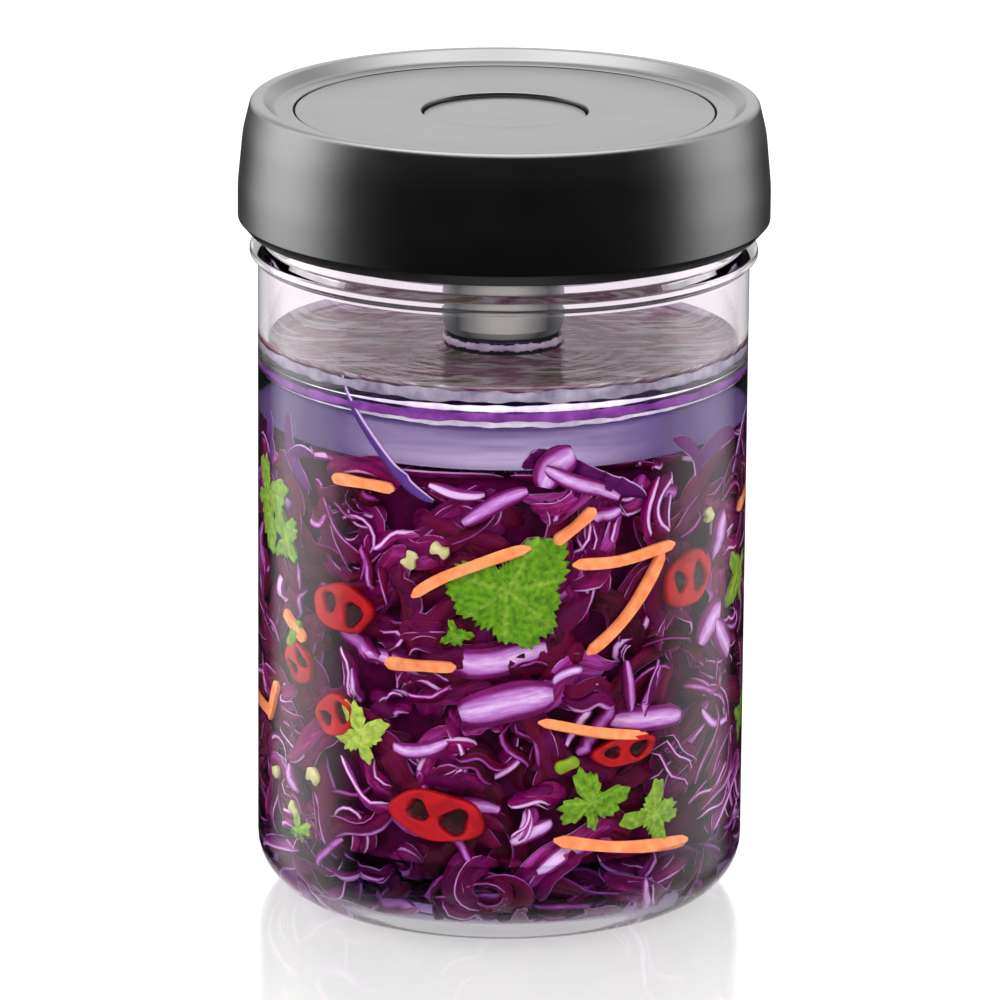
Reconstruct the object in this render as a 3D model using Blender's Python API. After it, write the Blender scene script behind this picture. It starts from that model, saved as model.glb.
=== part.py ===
# Fermentation jar: a one-litre glass jar packed with shredded red cabbage, held down by a clear
# press weight under a black lid with a valve button and a valve housing.
# Metres, +Z up, origin at the centre of the base. The front of the jar faces -Y.

import math
import random

import bpy
import bmesh
from mathutils import Vector

# Glass jar
GLASS_R = 0.0540
GLASS_INNER_R = 0.0515
BASE_CORNER_R = 0.0173
FLOOR_T = 0.0045
BASE_DISH_R = 0.0280
BASE_DISH_DEPTH = 0.0012
BODY_TOP_Z = 0.1432
BEAD_R = 0.0558
BEAD_Z = 0.1458
BEAD_HALF_HEIGHT = 0.0014
NECK_R = 0.0525
NECK_INNER_R = 0.0502
NECK_Z = 0.1480
MOUTH_Z = 0.1720
LIP_ROUND = 0.0008

# Lid
LID_TOP_Z = 0.1785
LID_BOTTOM_Z = 0.1499
LID_MAX_R = 0.0584
LID_CHAMFER_R = 0.0560
LID_CHAMFER_Z = 0.1525
LID_TOP_R = 0.0552
LID_RIM_IN_R = 0.0525
LID_BORE_R = 0.0543
DECK_Z = 0.1762
DISC_R = 0.0460
DISC_TOP_Z = 0.1760
DISC_LIP = 0.0005
BUTTON_R = 0.0180
BUTTON_TOP_Z = 0.1752
WELL_Z = 0.1726
PLUG_R = 0.0495
PLUG_BOTTOM_Z = 0.1695

# Valve housing and press weight
HOUSING_R = 0.0132
HOUSING_BORE_R = 0.0105
HOUSING_BOTTOM_Z = 0.1280
HOUSING_ROUND = 0.0030
WEIGHT_R = 0.0470
WEIGHT_BOTTOM_Z = 0.1075
WEIGHT_TOP_Z = 0.1180
WEIGHT_EDGE = 0.0028
STEM_R = 0.0130
STEM_BORE_R = 0.0100
STEM_TOP_Z = 0.1276
STEM_FLOOR_Z = 0.1140

# Vegetables
HEAP_TOP_Z = 0.1068
CORE_R = 0.0478
CORE_LUMP = 0.0011
OUTER_REACH = 0.0510
SHRED_ROWS = 7
SHREDS_PER_ROW = 7
SHRED_SEED = 11
SHRED_LOW_Z = 0.0120
SHRED_HIGH_Z = 0.1020
CARROT_WIDTH = 0.0030
CARROT_T = 0.0024
PEPPER_WALL = 0.0021
PEPPER_DEEP = 0.0036
PEPPER_R = 0.0490
LEAF_R = 0.0502
LEAF_T = 0.0009
LEAF_WAVE = 0.0005
LEAF_DIVE = 0.0026

GAP = 0.0003
JAR_SIDES = 48
WEIGHT_SIDES = 36
SMALL_SIDES = 28
SHARP_ANGLE = math.radians(32.0)
MERGE = 0.000002


def clear_scene():
    for obj in list(bpy.data.objects):
        bpy.data.objects.remove(obj, do_unlink=True)


def material(name, colour, roughness, transmission=0.0):
    mat = bpy.data.materials.new(name)
    mat.use_nodes = True
    shader = mat.node_tree.nodes["Principled BSDF"]
    shader.inputs["Base Color"].default_value = (*colour, 1.0)
    shader.inputs["Roughness"].default_value = roughness
    shader.inputs["Metallic"].default_value = 0.0
    shader.inputs["Transmission Weight"].default_value = transmission
    mat.diffuse_color = (*colour, 1.0)
    return mat


# Points on a round stretch of an outline: centre (r, z), radius, from one angle to another.
def arc(r, z, radius, start, end, steps):
    points = []
    for i in range(steps + 1):
        a = math.radians(start + (end - start) * i / steps)
        points.append((r + radius * math.cos(a), z + radius * math.sin(a)))
    return points


# Spin an (r, z) outline about Z. One that starts and ends on the axis closes itself there.
def turned(name, outline, sides, mat):
    bm = bmesh.new()
    verts = [bm.verts.new((r, 0.0, z)) for r, z in outline]
    edges = [bm.edges.new(pair) for pair in zip(verts, verts[1:])]
    if outline[0][0] > 0.0:
        edges.append(bm.edges.new((verts[-1], verts[0])))
    bmesh.ops.spin(bm, geom=verts + edges, cent=(0, 0, 0), axis=(0, 0, 1),
                   angle=math.tau, steps=sides)
    bmesh.ops.remove_doubles(bm, verts=bm.verts, dist=MERGE)
    bmesh.ops.recalc_face_normals(bm, faces=bm.faces)
    mesh = bpy.data.meshes.new(name)
    bm.to_mesh(mesh)
    bm.free()
    mesh.materials.append(mat)
    mesh.shade_smooth()
    mesh.set_sharp_from_angle(angle=SHARP_ANGLE)
    bpy.context.scene.collection.objects.link(bpy.data.objects.new(name, mesh))


# Jar: dished base, round corner, straight wall, a bead at the shoulder and a plain neck.
def make_jar(mat):
    flat_r = GLASS_R - BASE_CORNER_R
    inner_corner = BASE_CORNER_R - (GLASS_R - GLASS_INNER_R)
    outer = [(0.0, BASE_DISH_DEPTH), (BASE_DISH_R, BASE_DISH_DEPTH), (BASE_DISH_R + 0.002, 0.0)]
    outer += arc(flat_r, BASE_CORNER_R, BASE_CORNER_R, -90, 0, 5)
    outer += [(GLASS_R, BODY_TOP_Z),
              (BEAD_R, BEAD_Z - BEAD_HALF_HEIGHT),
              (BEAD_R, BEAD_Z + BEAD_HALF_HEIGHT * 0.4),
              (NECK_R, NECK_Z),
              (NECK_R, MOUTH_Z - LIP_ROUND),
              (NECK_R - LIP_ROUND, MOUTH_Z)]
    inner = [(NECK_INNER_R + LIP_ROUND, MOUTH_Z),
             (NECK_INNER_R, MOUTH_Z - LIP_ROUND),
             (NECK_INNER_R, NECK_Z),
             (GLASS_INNER_R, BODY_TOP_Z - 0.001)]
    inner += arc(flat_r, inner_corner + FLOOR_T, inner_corner, 0, -90, 5)
    inner += [(0.0, FLOOR_T)]
    turned("jar_glass", outer + inner, JAR_SIDES, mat)


# Lid: a crowned skirt, a chamfered lower edge, a raised rim round a dished deck, and a plug
# that goes down into the neck. The well in the deck holds the top disc and the button.
def make_lid(mat):
    well_r = DISC_R + GAP
    outline = [(0.0, WELL_Z), (well_r, WELL_Z), (well_r, DECK_Z), (LID_RIM_IN_R - 0.0025, DECK_Z),
               (LID_RIM_IN_R, LID_TOP_Z), (LID_TOP_R - 0.0006, LID_TOP_Z),
               (LID_TOP_R + 0.0005, LID_TOP_Z - 0.0008)]
    outline += skirt_side()
    outline += [(LID_CHAMFER_R, LID_BOTTOM_Z), (LID_BORE_R, LID_BOTTOM_Z),
                (LID_BORE_R, MOUTH_Z + GAP), (PLUG_R, MOUTH_Z + GAP),
                (PLUG_R, PLUG_BOTTOM_Z), (0.0, PLUG_BOTTOM_Z)]
    turned("lid_cap", outline, JAR_SIDES, mat)


# The skirt's side swells from the rim down to its widest level, just above the chamfer.
def skirt_side():
    points = []
    steps = 5
    start_z = LID_TOP_Z - 0.0025
    for i in range(steps + 1):
        t = i / steps
        r = LID_TOP_R + 0.0012 + (LID_MAX_R - LID_TOP_R - 0.0012) * math.sin(t * math.pi / 2) ** 0.9
        points.append((r, start_z + (LID_CHAMFER_Z - start_z) * t))
    return points


def make_top_disc(mat):
    low = WELL_Z + GAP
    hole = BUTTON_R + GAP
    outline = [(hole, low), (hole, DISC_TOP_Z - DISC_LIP), (hole + DISC_LIP, DISC_TOP_Z),
               (DISC_R - DISC_LIP, DISC_TOP_Z), (DISC_R, DISC_TOP_Z - DISC_LIP), (DISC_R, low)]
    turned("lid_top_disc", outline, JAR_SIDES, mat)


def make_button(mat):
    outline = [(0.0, BUTTON_TOP_Z), (BUTTON_R * 0.7, BUTTON_TOP_Z - 0.0002),
               (BUTTON_R - 0.001, BUTTON_TOP_Z - 0.0003), (BUTTON_R, BUTTON_TOP_Z - 0.0009),
               (BUTTON_R, WELL_Z + GAP), (0.0, WELL_Z + GAP)]
    turned("valve_button", outline, SMALL_SIDES, mat)


# Housing: a tube under the lid, open below, with a rounded lower edge.
def make_housing(mat):
    top = PLUG_BOTTOM_Z - GAP
    bottom = HOUSING_BOTTOM_Z
    outline = [(0.0, top), (HOUSING_R, top), (HOUSING_R, bottom + HOUSING_ROUND)]
    outline += arc(HOUSING_R - HOUSING_ROUND * 0.5, bottom + HOUSING_ROUND * 0.5,
                   HOUSING_ROUND * 0.5, -20, -90, 2)
    outline += [(HOUSING_BORE_R, bottom), (HOUSING_BORE_R, top - 0.004), (0.0, top - 0.004)]
    turned("valve_housing", outline, SMALL_SIDES, mat)


# Press weight: a thick round-edged disc with a hollow stem that stops just under the housing.
def make_weight(mat):
    mid = WEIGHT_R - WEIGHT_EDGE
    outline = [(0.0, WEIGHT_BOTTOM_Z)]
    outline += arc(mid, WEIGHT_BOTTOM_Z + WEIGHT_EDGE, WEIGHT_EDGE, -90, 0, 3)
    outline += arc(mid, WEIGHT_TOP_Z - WEIGHT_EDGE, WEIGHT_EDGE, 0, 90, 3)
    outline += [(STEM_R + 0.002, WEIGHT_TOP_Z), (STEM_R, WEIGHT_TOP_Z + 0.002),
                (STEM_R, STEM_TOP_Z - 0.0006), (STEM_R - 0.0008, STEM_TOP_Z),
                (STEM_BORE_R, STEM_TOP_Z), (STEM_BORE_R, STEM_FLOOR_Z), (0.0, STEM_FLOOR_Z)]
    turned("press_weight", outline, WEIGHT_SIDES, mat)


# A place in the jar: azimuth in degrees from the front towards +X, radius, height.
def place(azimuth, radius, z):
    a = math.radians(azimuth)
    return Vector((radius * math.sin(a), -radius * math.cos(a), z))


# Move a point inside the glass, off its round corner, and out of the press weight's space.
def fit_inside(point):
    radius = math.hypot(point.x, point.y)
    z = max(point.z, FLOOR_T + GAP)
    fitted = min(radius, OUTER_REACH)
    if z > HEAP_TOP_Z + GAP:
        fitted = max(fitted, WEIGHT_R + 2 * GAP)
    corner_r = GLASS_R - BASE_CORNER_R
    reach = OUTER_REACH - corner_r
    corner_z = FLOOR_T + GAP + reach
    if fitted > corner_r and z < corner_z:
        away = math.hypot(fitted - corner_r, corner_z - z)
        if away > reach:
            fitted = corner_r + (fitted - corner_r) * reach / away
            z = corner_z - (corner_z - z) * reach / away
    scale = fitted / radius if radius > 0.0 else 1.0
    return Vector((point.x * scale, point.y * scale, z))


def link_piece(name, bm, mat, collection):
    bmesh.ops.recalc_face_normals(bm, faces=bm.faces)
    bmesh.ops.triangulate(bm, faces=bm.faces)
    mesh = bpy.data.meshes.new(name)
    bm.to_mesh(mesh)
    bm.free()
    obj = bpy.data.objects.new(name, mesh)
    mesh.materials.append(mat)
    collection.objects.link(obj)


# A piece carried along a row of section rings, closed on itself or capped at both ends.
def piece_object(name, rings, closed, mat, collection):
    bm = bmesh.new()
    loops = [[bm.verts.new(fit_inside(p)) for p in ring] for ring in rings]
    pairs = list(zip(loops, loops[1:]))
    if closed:
        pairs.append((loops[-1], loops[0]))
    for low, high in pairs:
        count = len(low)
        for i in range(count):
            j = (i + 1) % count
            bm.faces.new((low[i], low[j], high[j], high[i]))
    if not closed:
        bm.faces.new(list(reversed(loops[0])))
        bm.faces.new(loops[-1])
    link_piece(name, bm, mat, collection)


# Strip along the wall between two places, bowed sideways, with both ends turned into the core.
# Its width lies along the wall, or stands on edge as far as the twist turns it.
def strip(name, start, end, width, thick, mat, collection, bow=0.0, twist=0.0,
          radius=0.0499, steps=6, taper=0.35, dive=0.0035):
    middles = []
    for i in range(steps + 1):
        t = i / steps
        azimuth = start[0] + (end[0] - start[0]) * t
        z = start[1] + (end[1] - start[1]) * t + bow * math.sin(math.pi * t)
        depth = dive * abs(2 * t - 1) ** 4
        middles.append((azimuth, radius - depth, z))
    points = [place(*m) for m in middles]
    rings = []
    for i, (middle, point) in enumerate(zip(middles, points)):
        ahead = points[min(i + 1, steps)] - points[max(i - 1, 0)]
        out = place(middle[0], 1.0, 0.0)
        side = out.cross(ahead).normalized()
        turn = math.radians(twist)
        across = side * math.cos(turn) + out * math.sin(turn)
        through = out * math.cos(turn) - side * math.sin(turn)
        narrow = 1.0 - taper * abs(2 * i / steps - 1) ** 2
        w = across * width / 2 * narrow
        h = through * thick / 2
        rings.append([point + w + h, point - w + h, point - w - h, point + w - h])
    piece_object(name, rings, False, mat, collection)


# Chilli ring lying on the core: an oval loop with a square section, seen face on.
def pepper_ring(name, azimuth, z, half_width, half_height, turn, mat, collection):
    segments = 12
    half = PEPPER_DEEP / 2
    rings = []
    for i in range(segments):
        a = math.tau * i / segments
        ring = []
        for shrink, lift in ((0.0, half), (PEPPER_WALL, half), (PEPPER_WALL, -half), (0.0, -half)):
            u = (half_width - shrink) * math.cos(a)
            v = (half_height - shrink) * math.sin(a)
            along = u * math.cos(turn) - v * math.sin(turn)
            up = u * math.sin(turn) + v * math.cos(turn)
            ring.append(place(azimuth + math.degrees(along / PEPPER_R), PEPPER_R + lift, z + up))
        rings.append(ring)
    piece_object(name, rings, True, mat, collection)


# Herb leaf: a wavy slab with a lobed outline, both faces split alike, its stalk end in the core.
def leaf(name, azimuth, z, size, turn, mat, collection, points=20, lobes=5):
    bm = bmesh.new()
    rims = []
    for side in (LEAF_T / 2, -LEAF_T / 2):
        layers = []
        for reach in (0.0, 0.55, 1.0):
            count = points if reach > 0.0 else 1
            layer = []
            for i in range(count):
                a = math.tau * i / points
                lobed = 0.80 + 0.20 * math.cos(lobes * a) if reach == 1.0 else 0.9
                u = size * lobed * reach * math.sin(a)
                v = size * lobed * reach * math.cos(a)
                lift = LEAF_WAVE * math.sin(3 * a) * reach - LEAF_DIVE * max(0.0, -v / size) ** 2
                along = u * math.cos(turn) + v * math.sin(turn)
                up = v * math.cos(turn) - u * math.sin(turn)
                point = place(azimuth + math.degrees(along / LEAF_R), LEAF_R + side + lift, z + up)
                layer.append(bm.verts.new(fit_inside(point)))
            layers.append(layer)
        centre, mid, rim = layers
        rims.append(rim)
        for i in range(points):
            j = (i + 1) % points
            bm.faces.new((centre[0], mid[i], mid[j]))
            bm.faces.new((mid[i], rim[i], rim[j]))
            bm.faces.new((mid[i], rim[j], mid[j]))
    top, bottom = rims
    for i in range(points):
        j = (i + 1) % points
        bm.faces.new((top[i], top[j], bottom[j]))
        bm.faces.new((top[i], bottom[j], bottom[i]))
    link_piece(name, bm, mat, collection)


# Core: a lumpy plug of packed cabbage with a round lower corner and a flat top.
def make_core(mat):
    around = 24
    base_z = FLOOR_T + GAP
    levels = (base_z, base_z + 0.0045, base_z + 0.0130, 0.0470, 0.0760, HEAP_TOP_Z)
    rings = []
    for k, z in enumerate(levels):
        ring = []
        for i in range(around):
            a = math.tau * i / around
            wave = math.sin(a * 5 + k * 1.7) + math.sin(a * 3 - k)
            radius = CORE_R + CORE_LUMP / 2 * wave
            ring.append(fit_inside(place(math.degrees(a), radius, z)))
        rings.append(ring)
    piece_object("vegetable_heap", rings, False, mat, bpy.context.scene.collection)
    return bpy.data.objects["vegetable_heap"]


# Cabbage shreds in rows all round the wall, drawn with one seed.
def add_shreds(mat, collection):
    draw = random.Random(SHRED_SEED)
    for row in range(SHRED_ROWS):
        z = SHRED_LOW_Z + (SHRED_HIGH_Z - SHRED_LOW_Z) * (row + 0.5) / SHRED_ROWS
        for i in range(SHREDS_PER_ROW):
            azimuth = 360.0 * (i + 0.5 * (row % 2) + draw.uniform(-0.2, 0.2)) / SHREDS_PER_ROW
            half = draw.uniform(16.0, 26.0)
            slope = draw.uniform(-0.010, 0.010)
            strip(f"shred_{row}_{i}", (azimuth - half, z - slope), (azimuth + half, z + slope),
                  draw.uniform(0.0034, 0.0070), draw.uniform(0.0012, 0.0018), mat, collection,
                  bow=draw.uniform(-0.006, 0.006), twist=draw.uniform(-60.0, 60.0),
                  radius=draw.uniform(0.0490, 0.0497), steps=3)


# The pieces that show best from the front, at the places they have in the jar.
def add_front_pieces(mat, collection):
    carrots = (((-45, 0.1023), (-27, 0.1027), 0.0006), ((-23, 0.0785), (5, 0.0912), 0.0030),
               ((12, 0.0915), (24, 0.0985), -0.0010), ((17, 0.0862), (48, 0.0878), 0.0010),
               ((21, 0.0632), (45, 0.0848), 0.0040), ((-30, 0.0632), (-11, 0.0640), -0.0008),
               ((8, 0.0520), (40, 0.0452), 0.0004), ((11, 0.0255), (54, 0.0185), -0.0012))
    for i, (start, end, bow) in enumerate(carrots):
        strip(f"carrot_{i}", start, end, CARROT_WIDTH, CARROT_T, mat, collection, bow=bow,
              radius=0.0497, steps=5, taper=0.1, dive=0.0028)
    broad = (((-17, 0.0630), (12, 0.0688), 0.0075), ((-13, 0.0530), (14, 0.0590), 0.0090),
             ((26, 0.0505), (52, 0.0482), 0.0070), ((7, 0.1035), (22, 0.1100), 0.0075),
             ((-34, 0.0150), (-12, 0.0175), 0.0080), ((52, 0.0640), (72, 0.0720), 0.0080))
    for i, (start, end, width) in enumerate(broad):
        strip(f"broad_{i}", start, end, width, 0.0016, mat, collection, bow=0.0012,
              twist=12.0, radius=0.0496, steps=4, dive=0.0030)
    rings = ((-42, 0.0736, 0.0080, 0.0056, 0.1), (52, 0.0791, 0.0080, 0.0066, 0.2),
             (-15.5, 0.0299, 0.0095, 0.0058, -0.1))
    for i, (azimuth, z, half_width, half_height, turn) in enumerate(rings):
        pepper_ring(f"pepper_{i}", azimuth, z, half_width, half_height, turn, mat, collection)
    leaf("leaf_0", 1.5, 0.0815, 0.0125, 0.5, mat, collection)
    leaf("leaf_1", -36.0, 0.0463, 0.0055, 0.2, mat, collection, points=12, lobes=4)
    leaf("leaf_2", 23.0, 0.0332, 0.0068, -0.4, mat, collection, points=12, lobes=4)
    leaf("leaf_3", 41.0, 0.0279, 0.0055, 0.7, mat, collection, points=12, lobes=3)


# Pieces that stand up between the press weight's rim and the glass.
def add_rising_pieces(mat, collection):
    rising = (((-43, 0.1225), (-17, 0.1020), 0.0034, -0.0030),
              ((6, 0.1000), (28, 0.1030), 0.0060, 0.0110),
              ((24, 0.1010), (44, 0.1020), 0.0050, 0.0080),
              ((64, 0.1000), (88, 0.1010), 0.0050, 0.0120),
              ((118, 0.1010), (144, 0.1000), 0.0050, 0.0090),
              ((176, 0.1000), (200, 0.1010), 0.0046, 0.0110),
              ((236, 0.1000), (262, 0.1020), 0.0050, 0.0100),
              ((290, 0.1010), (306, 0.1000), 0.0046, 0.0080))
    for i, (start, end, width, bow) in enumerate(rising):
        strip(f"rising_{i}", start, end, width, 0.0012, mat, collection, bow=bow,
              radius=0.0496, steps=6, dive=0.0012)


# Union of the core and the pieces, kept as its largest shell: closed pockets are filled.
def fuse(core, collection):
    union = core.modifiers.new("pieces", "BOOLEAN")
    union.operation = "UNION"
    union.operand_type = "COLLECTION"
    union.collection = collection
    union.solver = "MANIFOLD"
    graph = bpy.context.evaluated_depsgraph_get()
    fused = bpy.data.meshes.new_from_object(core.evaluated_get(graph))
    core.modifiers.clear()
    core.data = fused
    for obj in list(collection.objects):
        bpy.data.objects.remove(obj, do_unlink=True)
    bpy.data.collections.remove(collection)
    keep_largest_shell(fused)


def shell_of(face, seen):
    shell = [face]
    seen.add(face)
    for member in shell:
        for edge in member.edges:
            for other in edge.link_faces:
                if other not in seen:
                    seen.add(other)
                    shell.append(other)
    return shell


def keep_largest_shell(mesh):
    bm = bmesh.new()
    bm.from_mesh(mesh)
    bmesh.ops.triangulate(bm, faces=bm.faces)
    bmesh.ops.dissolve_degenerate(bm, dist=MERGE, edges=bm.edges)
    seen = set()
    shells = [shell_of(face, seen) for face in bm.faces if face not in seen]
    largest = max(shells, key=len)
    spare = [face for shell in shells if shell is not largest for face in shell]
    bmesh.ops.delete(bm, geom=spare, context="FACES")
    bm.to_mesh(mesh)
    bm.free()


def make_heap(mat):
    core = make_core(mat)
    pieces = bpy.data.collections.new("heap_pieces")
    bpy.context.scene.collection.children.link(pieces)
    add_shreds(mat, pieces)
    add_front_pieces(mat, pieces)
    add_rising_pieces(mat, pieces)
    fuse(core, pieces)


def main():
    clear_scene()
    glass = material("clear_glass", (0.95, 0.96, 0.97), 0.02, transmission=1.0)
    black = material("black_plastic", (0.015, 0.015, 0.017), 0.45)
    disc = material("black_disc", (0.025, 0.025, 0.028), 0.35)
    button = material("black_button", (0.02, 0.02, 0.022), 0.4)
    housing = material("grey_housing", (0.30, 0.31, 0.32), 0.3)
    clear = material("clear_plastic", (0.90, 0.91, 0.88), 0.05, transmission=0.9)
    vegetables = material("vegetables", (0.18, 0.02, 0.16), 0.4)
    make_jar(glass)
    make_lid(black)
    make_top_disc(disc)
    make_button(button)
    make_housing(housing)
    make_weight(clear)
    make_heap(vegetables)


main()
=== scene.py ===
import math

import bpy
import bmesh
import numpy as np
from mathutils import Matrix, Vector


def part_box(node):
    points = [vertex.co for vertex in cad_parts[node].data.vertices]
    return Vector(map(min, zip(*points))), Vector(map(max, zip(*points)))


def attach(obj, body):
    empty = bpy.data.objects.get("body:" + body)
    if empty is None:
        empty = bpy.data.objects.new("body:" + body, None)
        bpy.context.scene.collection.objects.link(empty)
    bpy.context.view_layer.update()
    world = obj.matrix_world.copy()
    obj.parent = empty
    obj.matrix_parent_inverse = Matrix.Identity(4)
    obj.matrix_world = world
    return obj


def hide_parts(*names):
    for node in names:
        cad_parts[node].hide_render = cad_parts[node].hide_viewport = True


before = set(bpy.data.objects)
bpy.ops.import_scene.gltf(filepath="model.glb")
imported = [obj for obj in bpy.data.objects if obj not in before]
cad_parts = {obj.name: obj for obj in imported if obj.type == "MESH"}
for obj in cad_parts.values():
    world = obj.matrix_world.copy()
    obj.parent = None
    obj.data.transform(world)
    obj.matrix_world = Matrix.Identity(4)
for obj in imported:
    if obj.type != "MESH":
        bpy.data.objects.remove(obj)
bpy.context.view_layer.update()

rng = np.random.default_rng(20)

# Lengths are in millimetres everywhere below; addMesh turns them into metres.
toMetres = 0.001
weightBox = np.array(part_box("press_weight")) / toMetres
inside = {
    "wall": 51.5,             # clear radius of the glass
    "floor": 4.5,
    "corner": 14.8,           # round between wall and floor
    "gap": 0.25,              # food stays this far off the glass
    "brim": 126.0,            # up to here food stays beside the weight
    "weightR": weightBox[1][0],
    "weightZ": weightBox[0][2],
    "unroll": 50.0,           # radius at which a length across the wall is true
}


# Fillet: each corner becomes a circular arc, written as a rational curve of degree two whose
# middle weight is the cosine of half the turn. Rows of points are radius, height, fillet.
def roundedOutline(points, steps=6):
    points = np.array(points, float)
    xy, radii = points[:, :2], points[:, 2]
    out = [xy[:1]]
    t = np.linspace(0, 1, steps + 1)[:, None]
    for i in range(1, len(xy) - 1):
        before, after = xy[i - 1] - xy[i], xy[i + 1] - xy[i]
        lengthBefore, lengthAfter = np.linalg.norm(before), np.linalg.norm(after)
        before, after = before / lengthBefore, after / lengthAfter
        turn = math.pi - math.acos(np.clip(before @ after, -1, 1))
        cut = min(radii[i] * math.tan(turn / 2), 0.49 * lengthBefore, 0.49 * lengthAfter)
        if cut < 1e-4:
            out.append(xy[i:i + 1])
            continue
        weight = math.cos(turn / 2)
        a, b = xy[i] + before * cut, xy[i] + after * cut
        top = (1 - t) ** 2 * a + 2 * weight * t * (1 - t) * xy[i] + t ** 2 * b
        out.append(top / ((1 - t) ** 2 + 2 * weight * t * (1 - t) + t ** 2))
    out.append(xy[-1:])
    return np.concatenate(out)


def addMesh(name, verts, faces, attributes=None):
    mesh = bpy.data.meshes.new(name)
    mesh.from_pydata((np.asarray(verts, float) * toMetres).tolist(), [], faces)
    for key, values in (attributes or {}).items():
        mesh.attributes.new(key, "FLOAT", "POINT").data.foreach_set("value", np.ravel(values))
    work = bmesh.new()
    work.from_mesh(mesh)
    bmesh.ops.recalc_face_normals(work, faces=work.faces)
    work.to_mesh(mesh)
    work.free()
    mesh.shade_smooth()
    piece = bpy.data.objects.new(name, mesh)
    bpy.context.scene.collection.objects.link(piece)
    return piece


# Quads between rows of corners, joined round the corners and, if closed, round the rows too.
def quadsRound(rows, corners, closed):
    i = np.arange(rows if closed else rows - 1)[:, None]
    j = np.arange(corners)[None, :]
    n, k = (i + 1) % rows, (j + 1) % corners
    quads = np.stack([i * corners + j, n * corners + j, n * corners + k, i * corners + k], -1)
    return quads.reshape(-1, 4).tolist()


# Surface of revolution: x = r cos a, y = r sin a over an even ring of angles, one pole vertex
# where the outline meets the axis, and the last row joined to the first if it never does.
def turned(name, outline, sides=168):
    r, z = outline[:, 0], outline[:, 1]
    polesAt = [i for i in (0, len(r) - 1) if r[i] < 1e-6]
    rings = np.array([i for i in range(len(r)) if i not in polesAt])
    a = np.arange(sides) / sides * 2 * math.pi
    ringR, ringZ = r[rings, None], z[rings, None]
    verts = np.stack([ringR * np.cos(a), ringR * np.sin(a), ringZ + 0 * a], -1).reshape(-1, 3)
    faces = quadsRound(len(rings), sides, not polesAt)
    for pole in polesAt:
        edge = (0 if pole == 0 else len(rings) - 1) * sides + np.arange(sides)
        faces += np.stack([np.full(sides, len(verts)), edge, np.roll(edge, -1)], -1).tolist()
        verts = np.vstack([verts, [0, 0, z[pole]]])
    return addMesh(name, verts, faces)


# Pieces carried along paths, all at once. Points are piece, step, corner, xyz. Each step's ring
# of corners is joined to the next one, and both ends are closed.
def carriedMesh(name, points, attributes=None):
    count, steps, corners, _ = points.shape
    p = np.arange(count)[:, None, None] * steps * corners
    s = np.arange(steps - 1)[None, :, None] * corners
    c = np.arange(corners)[None, None, :]
    d = (c + 1) % corners
    quads = np.stack([p + s + c, p + s + d, p + s + corners + d, p + s + corners + c], -1)
    start = (p[:, 0] + np.arange(corners)[::-1]).tolist()
    end = (p[:, 0] + (steps - 1) * corners + np.arange(corners)).tolist()
    faces = quads.reshape(-1, 4).tolist() + start + end
    return addMesh(name, points.reshape(-1, 3), faces, attributes)


# Three sheets that the food lies on, each a function of across, along and depth under the
# sheet, giving a point and the way out. The wall is a cylinder that rolls round the jar's lower
# corner: height above the corner is height, below it is arc length.
def onWall(across, height, depth):
    corner = inside["corner"] - inside["gap"]
    flat = inside["wall"] - inside["corner"]
    cornerZ = inside["floor"] + inside["corner"]
    roll = np.clip((cornerZ - height) / corner, 0, math.pi / 2)
    beyond = np.maximum(0, cornerZ - height - corner * math.pi / 2)
    r = np.maximum(flat + (corner - depth) * np.cos(roll) - beyond, 1.0)
    z = np.where(height > cornerZ, height, cornerZ - (corner - depth) * np.sin(roll))
    a = across / inside["unroll"]
    point = np.stack([r * np.sin(a), -r * np.cos(a), z + 0 * a], -1)
    out = np.stack([np.cos(roll) * np.sin(a), -np.cos(roll) * np.cos(a), -np.sin(roll) + 0 * a], -1)
    return point, out


def onTop(x, y, depth):
    point = np.stack([x, y, inside["weightZ"] - 0.4 - depth + 0 * x], -1)
    return point, np.broadcast_to([0.0, 0.0, 1.0], point.shape)


def onFloor(x, y, depth):
    point = np.stack([x, y, inside["floor"] + inside["gap"] + depth + 0 * x], -1)
    return point, np.broadcast_to([0.0, 0.0, -1.0], point.shape)


# Keeps points inside the clear jar: off the wall, the floor and their round corner, pressed down
# under the weight, and outside it above its underside.
def keptInside(points):
    x, y, z = points[..., 0], points[..., 1], points[..., 2]
    r = np.hypot(x, y)
    reach = inside["wall"] - inside["gap"]
    z = np.maximum(z, inside["floor"] + inside["gap"])
    pressed = (r < inside["weightR"] - 0.6) & (z < inside["weightZ"] + 6)
    z = np.where(pressed, np.minimum(z, inside["weightZ"] - inside["gap"]), z)
    fitted = np.minimum(r, reach)
    beside = (z > inside["weightZ"] - inside["gap"]) & (z < inside["brim"])
    fitted = np.where(beside, np.maximum(fitted, inside["weightR"] + inside["gap"]), fitted)
    flat = inside["wall"] - inside["corner"]
    corner = reach - flat
    cornerZ = inside["floor"] + inside["corner"]
    dr, dz = fitted - flat, cornerZ - z
    away = np.hypot(dr, dz)
    past = (dr > 0) & (dz > 0) & (away > corner)
    k = np.where(past, corner / np.maximum(away, 1e-6), 1)
    fitted = np.where(past, flat + dr * k, fitted)
    z = np.where(past, cornerZ - dz * k, z)
    s = fitted / np.maximum(r, 1e-6)
    return np.stack([x * s, y * s, z], -1)


# The pieces laid in front of the others push these inwards where they would cross. One row is
# across, height, radius of the spot and how deep the others have to go.
frontSpots = []
push = {"reach": 1.8, "fade": 0.65}      # in radii of a spot


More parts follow.
